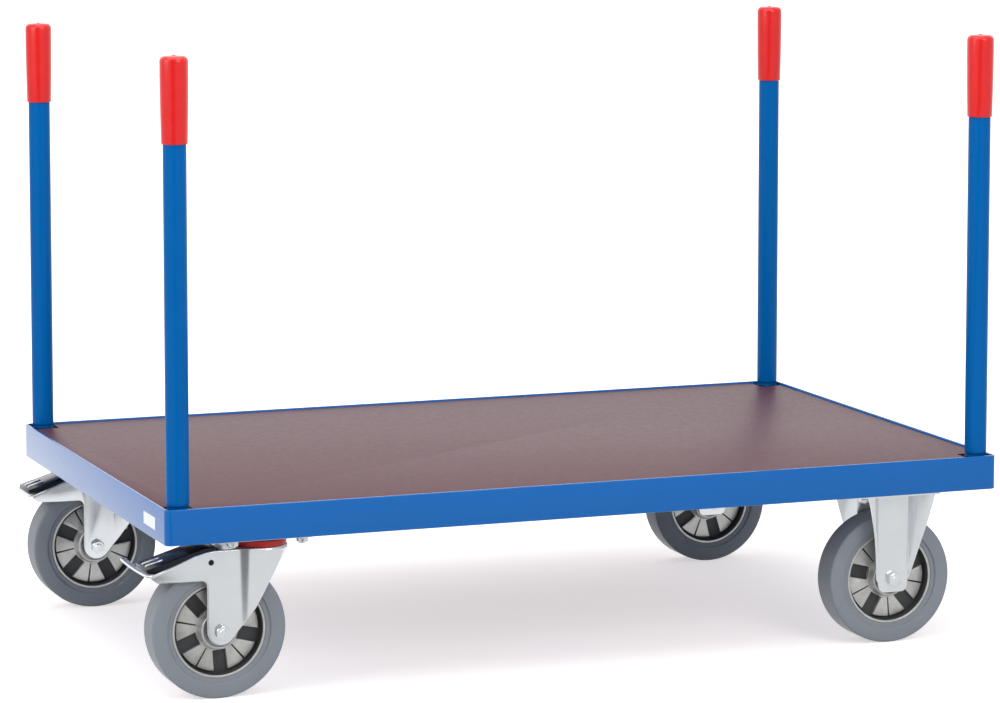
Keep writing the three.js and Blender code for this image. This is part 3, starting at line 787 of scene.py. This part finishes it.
def tyre_shape():
    half = 25.0
    bead_half = 22.2
    seat = 70.2
    bead_round = 0.6
    step_round = 1.8
    shoulder_round = 3.6
    crown_half = 6.0
    side = [(seat, bead_half - 1.0), (seat + 1.0, bead_half)]
    side += arc((76.6, bead_half + bead_round), bead_round, 270, 360, 3)
    side += arc((79.2, half - step_round), step_round, 180, 90, 5)
    side += [(90.0, half), (94.5, half - 0.3)]
    side += arc((wheel_radius - shoulder_round, half - 4.1), shoulder_round, 78, 8, 6)
    side += [(wheel_radius, half - 6.5), (wheel_radius, crown_half)]
    return turned(both_sides(side), steps=128, axis=across)


def hub_shape(turn):
    rim_outside = 70.0
    rim_inside = 66.5
    rim_half = 22.0
    rim_round = 0.7
    web_half = 11.0
    web_outer = 62.0
    floor_half = 5.0
    boss = 27.5
    half = 25.0
    pocket = 23.5
    bore = 16.0
    bore_end = 12.7
    windows = 5
    cut_end = 30
    window_outline = [(31, -10), (65, -11), (65, 11), (31, 10)]
    groove_outline = [(32, -0.9), (65, -1.5), (65, 1.5), (32, 0.9)]
    side = [(bore, bore_end), (pocket, bore_end), (pocket, half - 0.8), (pocket + 0.8, half)]
    side += [(boss - 1.0, half), (boss, half - 1.0), (boss + 1.2, web_half + 3), (boss + 3.3, web_half)]
    side += [(web_outer - 1.4, web_half), (web_outer - 0.4, web_half - 0.4), (web_outer, web_half - 1.4)]
    side += [(web_outer, floor_half), (rim_inside, floor_half), (rim_inside, rim_half - rim_round)]
    side += [(rim_inside + rim_round, rim_half), (rim_outside - rim_round, rim_half)]
    side += [(rim_outside, rim_half - rim_round)]
    blank = turned(both_sides(side), steps=96, axis=across)
    cutters = []
    for index in range(windows):
        for over in (0, 180):
            for outline, place in ((window_outline, index), (groove_outline, index + 0.5)):
                cutter = prism(outline, floor_half, cut_end)
                spun_round(cutter, 90, "X")
                spun_round(cutter, over, "X")
                spun_round(cutter, 360 / windows * place, "Y")
                cutters.append(cutter)
    hub = combined(blank, gathered(*cutters), "DIFFERENCE")

    def on_web_face(edge):
        level = all(abs(abs(v.co.y) - web_half) < 0.01 for v in edge.verts)
        return level and all(math.hypot(v.co.x, v.co.z) < web_outer - 0.5 for v in edge.verts)

    soften(hub, width=0.9, sharper_than=60, where=on_web_face)
    return spun_round(hub, turn, "Y")


# Painted shade: a dark lining stands behind the web and inside the rim, where the hollows beside the ribs
# go deep.
def shade_lining_shape():
    web = (31.5, 5.2)
    rim = (65.9, 20.6)
    side = [(web[0], 0), web, (rim[0], web[1]), rim, (rim[0] + 0.7, rim[1])]
    return turned(both_sides(side), steps=96, axis=across)


def bearing_shape(side):
    seat = 19.0
    bore = 10.4
    outside = 23.2
    face = -5.5
    race_edge = -4.9
    seal_face = -4.6
    inner_face = 6.0
    profile = [(bore, face), (14.0, face), (14.3, race_edge), (15.0, seal_face), (19.4, seal_face)]
    profile += [(20.0, race_edge), (20.3, face), (outside, face), (outside, inner_face), (bore, inner_face)]
    shape = turned(profile + [profile[0]], steps=64, axis=across)
    if side > 0:
        spun_round(shape, 180, "X")
    return moved(shape, (0, side * seat, 0))


# A hexagon whose corners are turned down at the top, as on every bolt head and nut here.
def cap_head(radius, low, high):
    hexagon = prism(arc((0, 0), radius, 30, 330, 5), low, high)
    trimmed = radius - 0.4
    cone = turned(
        [(0, low), (trimmed, low), (trimmed, high - 1.2), (radius - 2.0, high), (0, high)], steps=48,
    )
    return soften(combined(hexagon, cone, "INTERSECT"), width=0.4, sharper_than=40)


def axle_shape():
    shank_radius = 10.0
    thread_radius = 5.8
    thread_end = -45.0
    thread_start = -30.5
    hex_radius = 13.0
    head_end = 42.2
    profile = [(0, thread_end), (thread_radius - 1.0, thread_end), (thread_radius, thread_end + 1.0)]
    profile += [(thread_radius, thread_start), (shank_radius, thread_start)]
    profile += [(shank_radius, cheek_face), (0, cheek_face)]
    head = spun_round(cap_head(hex_radius, cheek_face + 0.1, head_end), -90, "X")
    return gathered(turned(profile, steps=40, axis=across), head)


def axle_nut_shape():
    hex_radius = 11.0
    nut_end = 43.9
    return spun_round(cap_head(hex_radius, cheek_face, nut_end), 90, "X")


def make_wheel(corner):
    body = "wheel_" + corner
    place = wheel_place(corner)
    tyre = moved(tyre_shape(), place)
    finished("rubber_" + corner, tyre, tyre_rubber, body, ("tyre_" + corner,))
    hub = moved(hub_shape(hub_turns[corner]), place)
    finished("casting_" + corner, hub, cast_aluminium, body, ("hub_" + corner,))
    finished("shade_lining_" + corner, moved(shade_lining_shape(), place), painted_shade_lining, body)
    for side, word in ((-1, "near_"), (1, "far_")):
        name = word + corner
        bearing = moved(bearing_shape(side), place)
        finished("bearing_cap_" + name, bearing, bearing_steel, body, ("bearing_" + name,))
    carrier = "swivel_" + corner if "left" in corner else "frame"
    bolt = moved(axle_shape(), place)
    finished("axle_" + corner, bolt, zinc_plate, carrier, ("axle_bolt_" + corner,))
    nut = moved(axle_nut_shape(), place)
    finished("lock_nut_" + corner, nut, zinc_plate, carrier, ("axle_nut_" + corner,))


for corner in corners:
    make_wheel(corner)


# Castor plates: 4 mm steel blanks, bright zinc plated, each bolted up to its beam with four bolts,
# washers and nuts.
plate_underside = 233.0


def plate_shape(half_wide):
    half_long = 67.5
    corner_round = 8.0
    outline = []
    for side_x, side_y, start in quadrants:
        centre = (side_x * (half_long - corner_round), side_y * (half_wide - corner_round))
        outline += arc(centre, corner_round, start, start + 90, 6)
    return soften(prism(outline, plate_underside, frame_underside), width=0.7)


def make_plate_bolts(corner):
    half_spacing_x = 52.5
    half_spacing_y = 40.0
    washer_top = plate_underside - 0.1
    washer_low = 231.4
    hex_radius = 9.0
    nut_low = 224.6
    bolt_low = 222.4
    bolt_top = 246.0
    washer_profile = [(5, washer_low), (9.6, washer_low), (10.0, washer_low + 0.4)]
    washer_profile += [(10.0, washer_top), (5, washer_top), (5, washer_low)]
    bolt_profile = [(0, bolt_low), (4.2, bolt_low), (5.0, bolt_low + 0.8), (5.0, bolt_top), (0, bolt_top)]
    parts = []
    for x in (-half_spacing_x, half_spacing_x):
        for y in (-half_spacing_y, half_spacing_y):
            washer = turned(washer_profile, steps=40)
            nut = spun_round(cap_head(hex_radius, -washer_low, -nut_low), 180, "X")
            bolt = turned(bolt_profile, steps=24)
            parts += [moved(part, (x, y, 0)) for part in (washer, nut, bolt)]
    bolts = moved(gathered(*parts), castor_place(corner))
    finished("plate_bolts_" + corner, bolts, zinc_plate, "frame")


for corner in corners:
    make_plate_bolts(corner)


# Swivel castors: a fork pressed from one sheet, folded round a ball-bearing head, with a red seal under
# the plate. The blank is drawn flat, as length and height, and then bent round the kingpin.
crown_top = 219.0
cheek_outer = 35.0
cheek_wall = 4.0
head_radius = 41.0
bend_step = 1.8
pivot_reach = 15.0
pivot_height = 202.0


# Moulded nylon is a deep even red with a dull shine.
def moulded_seal():
    flow_width = 6 * mm
    seal = new_material("moulded red nylon")
    place = add_node(seal, "ShaderNodeTexCoord").outputs["Object"]
    flow = add_node(
        seal, "ShaderNodeTexNoise", settings={"Scale": 1 / flow_width, "Detail": 2.0},
        links={"Vector": place},
    )
    shade = add_node(
        seal, "ShaderNodeMix", data_type="RGBA",
        settings={"A": linear("#B51818"), "B": linear("#C8211E")},
        links={"Factor": flow.outputs["Fac"]},
    )
    shader = add_node(
        seal, "ShaderNodeBsdfPrincipled", settings={"Roughness": 0.35},
        links={"Base Color": shade.outputs["Result"]},
    )
    surface_output(seal, shader)
    return seal


# A plan path is what the folded sheet follows, seen from above, with the length reached at each point.
# The length along it at a place x is then where that place lies on the flat blank.
def plan_path(points):
    lengths = [points[0][0]]
    for (x0, y0), (x1, y1) in zip(points, points[1:]):
        lengths.append(lengths[-1] + math.hypot(x1 - x0, y1 - y0))
    return points, lengths


def along(path, x):
    points, lengths = path
    for i in range(len(points) - 1):
        if points[i][0] <= x <= points[i + 1][0]:
            share = (x - points[i][0]) / (points[i + 1][0] - points[i][0])
            return lengths[i] + share * (lengths[i + 1] - lengths[i])
    return lengths[-1] if x > points[-1][0] else lengths[0]


# The flat blank is cut across between two lengths, and each point goes to its place beside the path.
def folded(wall, path, start, end):
    points, lengths = path
    for i in range(int((end - start) / bend_step) + 1):
        bmesh.ops.bisect_plane(
            wall, geom=list(wall.verts) + list(wall.edges) + list(wall.faces), dist=0.0001,
            plane_co=(start + bend_step * i, 0, 0), plane_no=(1, 0, 0),
        )
    for v in wall.verts:
        length, height, depth = v.co
        i = min(max(bisect.bisect_right(lengths, length) - 1, 0), len(points) - 2)
        share = (length - lengths[i]) / (lengths[i + 1] - lengths[i])
        (x0, y0), (x1, y1) = points[i], points[i + 1]
        before = points[max(i - 1, 0)]
        after = points[min(i + 2, len(points) - 1)]
        arriving = Vector((x1 - before[0], y1 - before[1])).normalized()
        leaving = Vector((after[0] - x0, after[1] - y0)).normalized()
        heading = arriving.lerp(leaving, share).normalized()
        v.co = (
            x0 + share * (x1 - x0) - heading.y * depth,
            y0 + share * (y1 - y0) + heading.x * depth,
            height,
        )
    bmesh.ops.recalc_face_normals(wall, faces=wall.faces)
    return wall


def mirrored(shape):
    other = shape.copy()
    bmesh.ops.scale(other, vec=(1, -1, 1), verts=other.verts)
    bmesh.ops.reverse_faces(other, faces=other.faces)
    return other


# Half of the fork's width at each place: even along the cheeks, then swelling out to the round head.
def fork_half(x):
    ramp_start = -43.0
    ramp_end = -24.0
    rise = 4.6
    if x <= ramp_start:
        return cheek_outer
    if x <= ramp_end:
        share = (x - ramp_start) / (ramp_end - ramp_start)
        return cheek_outer + rise * share * share * (3 - 2 * share)
    share = (x - ramp_end) / -ramp_end
    return cheek_outer + rise + (head_radius - cheek_outer - rise) * math.sin(share * math.pi / 2)


def fork_path(inset=0.0):
    path_start = -190
    cheek = [(x, inset - fork_half(x)) for x in range(path_start, 0)]
    return cheek + arc((0, 0), head_radius - inset, -90, 0, 36)


# The blank's outline goes round from the notch under the nose to the foot, up the leg to the skirt of
# the head, along the crown and down the slope to the nose.
def fork_shape():
    axle = -castor_trail
    sheet_top = crown_top - 0.1
    pivot_hole = 4.2
    hole_low = -3
    hole_high = 8
    crown_thickness = 5.0
    crown_inset = 1.6
    bend_start = -47
    path = plan_path(fork_path())
    under_nose = [(-94.0, 176.8), (-60.0, 175.6)] + arc((-30.0, 166.5), 9.0, 90, 0, 6)
    foot = arc((0.0, 101.0), 21.0, 180, 318, 16)
    leg = [(29.4, 104.6), (50.9, 132.5), (60.5, 149.5), (69.8, 167.6), (86.0, 194.0)]
    skirt = [(93.5, 203.8), (101.4, 210.6), (105.0, 212.2), (109.0, 212.6)]
    crown = [(109.0, sheet_top), (-12.0, sheet_top)]
    slope = [(-22.0, 217.4), (-40.0, 212.8), (-52.0, 207.6), (-65.0, 202.2), (-79.0, 197.0), (-93.0, 191.8)]
    nose = [(-101.5, 188.8), (-104.5, 186.6), (-104.0, 183.4), (-98.5, 178.8)]
    outline = under_nose + foot + leg + skirt + crown + slope + nose
    wall = prism([(along(path, axle + x), z) for x, z in outline], 0, cheek_wall)
    seam = path[1][-1]

    def on_outside(edge):
        return max(v.co.z for v in edge.verts) < 0.01 and min(v.co.x for v in edge.verts) < seam - 0.01

    soften(wall, width=1.7, sharper_than=50, segments=3, where=on_outside)
    hole_profile = [(0, hole_low), (pivot_hole, hole_low), (pivot_hole, hole_high), (0, hole_high)]
    pivot = turned(hole_profile, steps=32)
    wall = combined(wall, moved(pivot, (axle - pivot_reach, pivot_height, 0)), "DIFFERENCE")
    folded(wall, path, bend_start, seam)
    near = [point for point in fork_path(crown_inset) if point[0] >= axle]
    far = [(x, -y) for x, y in reversed(near[:-1])]
    cover = prism(near + far, crown_top - crown_thickness, sheet_top)
    lip = [(36, sheet_top), (38.6, sheet_top), (40.4, 218.0), (41.4, 216.2), (41.5, 214.4), (41.1, 212.9)]
    rolled = turned(lip + [(40.5, 212.2), (36, 212.2), (36, sheet_top)], steps=96)
    return gathered(wall, mirrored(wall), cover, rolled)


def swivel_plate_shape():
    bore = 8.4
    boss_radius = 36.5
    boss_top = 234.0
    boss_low = 226.8
    profile = [(bore, boss_top), (bore, boss_low), (31.0, boss_low), (35.0, 229.3), (boss_radius, 232.4)]
    boss = turned(profile + [(boss_radius, boss_top), (bore, boss_top)], steps=72)
    return gathered(plate_shape(half_wide=55.0), boss)


def race_shape():
    low = 219.6
    high = 226.4
    profile = [(26, low), (33, low), (35, 221), (35, 225), (33, high), (26, high), (26, low)]
    return turned(profile, steps=72)


def seal_shape():
    inside = 37.0
    low = 219.4
    profile = [(inside, low), (38.8, low), (39.4, 220.1), (39.4, 222.6), (39.0, 223.2), (39.5, 223.8)]
    profile += [(39.5, 226.6), (38.8, 227.8), (inside, 227.9), (inside, low)]
    return turned(profile, steps=96)


def kingpin_shape():
    top = 236.5
    low = 205.0
    radius = 8.0
    hex_radius = 13.0
    nut_top = 213.6
    nut_low = 204.8
    pin = turned([(0, top), (radius, top), (radius, low), (0, low)], steps=40)
    nut = spun_round(cap_head(hex_radius, -nut_top, -nut_low), 180, "X")
    return gathered(pin, nut)


def make_swivel_head(corner):
    body = "swivel_" + corner
    place = castor_place(corner)
    fork = moved(fork_shape(), place)
    finished("pressed_fork_" + corner, fork, zinc_plate, body, ("fork_" + corner,))
    plate = moved(swivel_plate_shape(), place)
    finished("head_plate_" + corner, plate, zinc_plate, "frame", ("swivel_plate_" + corner,))
    race = moved(race_shape(), place)
    finished("race_" + corner, race, bearing_steel, body, ("ball_race_" + corner,))
    seal = moved(seal_shape(), place)
    finished("seal_" + corner, seal, seal_red, body, ("seal_ring_" + corner,))
    kingpin = moved(kingpin_shape(), place)
    finished("king_bolt_" + corner, kingpin, zinc_plate, "frame", ("kingpin_" + corner,))


seal_red = moulded_seal()
swivel_corners = [corner for corner in corners if "left" in corner]
for corner in swivel_corners:
    make_swivel_head(corner)


# Foot brakes: a pressed channel that turns on two trunnions, with two ribs near its end and a bowed tread
# bar that reaches past the fork on the far side. All of it carries one bright plate. The channel's plate is
# coloured near black as a painted dark reflection, so that it mirrors like black glass, and that of the
# ribs and the bar is coloured near white as painted highlights.
# Painted reflection and highlight: one plating, coloured near black on the channel and near white on the
# ribs and bar.
painted_dark_reflection_plate = plain_metal(
    "plate on pressed steel, darkened as painted reflection", "#34373C", "#26282D", roughness=(0.14, 0.22),
    grain_width=2.0, grain_height=0.03,
)
painted_highlight_plate = plain_metal(
    "plate on ribs and bar, lightened as painted highlight", "#E4E6E8", "#D4D6DA", roughness=(0.1, 0.16),
    grain_width=2.0, grain_height=0.02, metallic=0.75,
)


# An outline seen from the side, raised across the castor between two places.
def raised_across(outline, low, high):
    shape = spun_round(prism(outline, low, high), 90, "X")
    bmesh.ops.recalc_face_normals(shape, faces=shape.faces)
    return shape


def lever_shape():
    half = 29.8
    wall = 3
    trunnion_radius = 3.5
    trunnion_half = 33.2
    axle = -castor_trail
    top = [(-109.5, 196.4), (-95.0, 201.0), (-79.0, 205.6), (-64.0, 210.2), (-49.0, 214.7), (-21.0, 222.8)]
    root = [(-9.0, 222.8), (-8.2, 221.8), (-8.2, 197.2), (-18.6, 197.2)]
    outside = [(-109.5, 190.0)] + top + root + [(-66.0, 194.0), (-99.0, 190.0)]
    inside = [(-106.0, 180.0), (-106.0, 193.8), (-79.0, 202.6), (-49.0, 211.7), (-21.0, 219.8)]
    inside += [(-5.0, 219.8), (-5.0, 180.0)]
    body = raised_across([(axle + x, z) for x, z in outside], -half, half)
    hollow = raised_across([(axle + x, z) for x, z in inside], -half + wall, half - wall)
    channel = soften(combined(body, hollow, "DIFFERENCE"), width=1.0, sharper_than=40, segments=3)
    profile = [(0, -trunnion_half), (trunnion_radius, -trunnion_half)]
    profile += [(trunnion_radius, trunnion_half), (0, trunnion_half)]
    trunnion = turned(profile, steps=32, axis=across)
    return gathered(channel, moved(trunnion, (axle - pivot_reach, 0, pivot_height)))


def tread_shape():
    rib_half = 2.4
    rib_place = 9.0
    rib_outline = [(-106.5, 196.8), (-104.0, 200.0), (-82.0, 206.7), (-79.0, 205.2)]
    bar_reach = -118.0
    bar_far_end = 94.0
    bar_length = 144.0
    bar_depth = 9.0
    bar_bow = 3.0
    bar_low = 189.0
    bar_high = 192.5
    bends = 12
    parts = []
    for y in (-rib_place, rib_place):
        parts.append(soften(raised_across(rib_outline, y - rib_half, y + rib_half), width=0.8))
    shares = [i / bends for i in range(bends + 1)]
    front = [(bar_reach + bar_bow * (2 * t - 1) ** 2, bar_far_end - bar_length * t) for t in shares]
    back = [(x + bar_depth, y) for x, y in reversed(front)]
    parts.append(soften(prism(front + back, bar_low, bar_high), width=1.0, sharper_than=50, segments=3))
    return moved(gathered(*parts), (-castor_trail, 0, 0))


def make_brake(corner):
    body = "brake_" + corner
    place = castor_place(corner)
    lever = moved(lever_shape(), place)
    finished("foot_lever_" + corner, lever, painted_dark_reflection_plate, body, ("brake_lever_" + corner,))
    finished("tread_" + corner, moved(tread_shape(), place), painted_highlight_plate, body)
    dress_node("brake_shoe_" + corner, bearing_steel)


for corner in swivel_corners:
    make_brake(corner)


# Fixed castors: a bracket whose two tapered cheeks flare outwards to their rims, welded to the plate,
# all bright zinc plated. Each cheek is a flat blank too, folded along a path that flares.
def cheek_shape():
    half_top = 56.0
    flat = 25.0
    reach = 31.0
    flare = 30.0
    curl = 2.2
    half_path = 58
    weld_line = 232

    def outward(x):
        share = min(max(0.0, abs(x) - flat) / reach, 1.0)
        return flare * (1 - (1 - share) ** curl)

    places = [i / 2 for i in range(-2 * half_path, 2 * half_path + 1)]
    path = plan_path([(x, -cheek_outer - outward(x)) for x in places])
    right = arc((14.0, 90.0), 10.0, 270, 350, 5)
    right += [(24.0, 90.0), (25.0, 100.0), (30.5, 131.0), (37.0, 162.0), (46.0, 197.0), (half_top, 233.2)]
    left = [(-x, z) for x, z in reversed(right)]
    wall = prism([(along(path, x), z) for x, z in right + left], 0, cheek_wall)
    soften(
        wall, width=1.3, sharper_than=50, segments=3,
        where=lambda edge: min(v.co.y for v in edge.verts) < weld_line,
    )
    return folded(wall, path, along(path, -half_top), along(path, half_top))


def make_fixed_bracket(corner):
    near = cheek_shape()
    bracket = gathered(near, mirrored(near), plate_shape(half_wide=65.0))
    moved(bracket, castor_place(corner))
    finished("flared_bracket_" + corner, bracket, zinc_plate, "frame", ("bracket_" + corner,))


for corner in corners:
    if corner not in swivel_corners:
        make_fixed_bracket(corner)


# Label: a small blank rectangle of white foil on the left rail. It is smooth, with a faint haze in its
# shine.
def white_foil():
    haze_width = 8 * mm
    foil = new_material("white foil")
    place = add_node(foil, "ShaderNodeTexCoord").outputs["Object"]
    haze = add_node(foil, "ShaderNodeTexNoise", settings={"Scale": 1 / haze_width}, links={"Vector": place})
    sheen = add_node(
        foil, "ShaderNodeMapRange", settings={"To Min": 0.3, "To Max": 0.45},
        links={"Value": haze.outputs["Fac"]},
    )
    shader = add_node(
        foil, "ShaderNodeBsdfPrincipled", settings={"Base Color": linear("#E8ECEE")},
        links={"Roughness": sheen.outputs[0]},
    )
    surface_output(foil, shader)
    return foil


def make_label():
    length = 60.0
    height = 18.0
    thickness = 0.15
    from_middle = -324.0
    above_floor = 259.2
    label = bmesh.new()
    bmesh.ops.create_cube(label, size=1.0)
    bmesh.ops.scale(label, vec=(thickness, length, height), verts=label.verts)
    moved(label, platform_place(-half_length - thickness / 2, from_middle, above_floor))
    finished("blank_label", label, white_foil(), "frame")


make_label()

bpy.context.scene.view_settings.view_transform = "Standard"
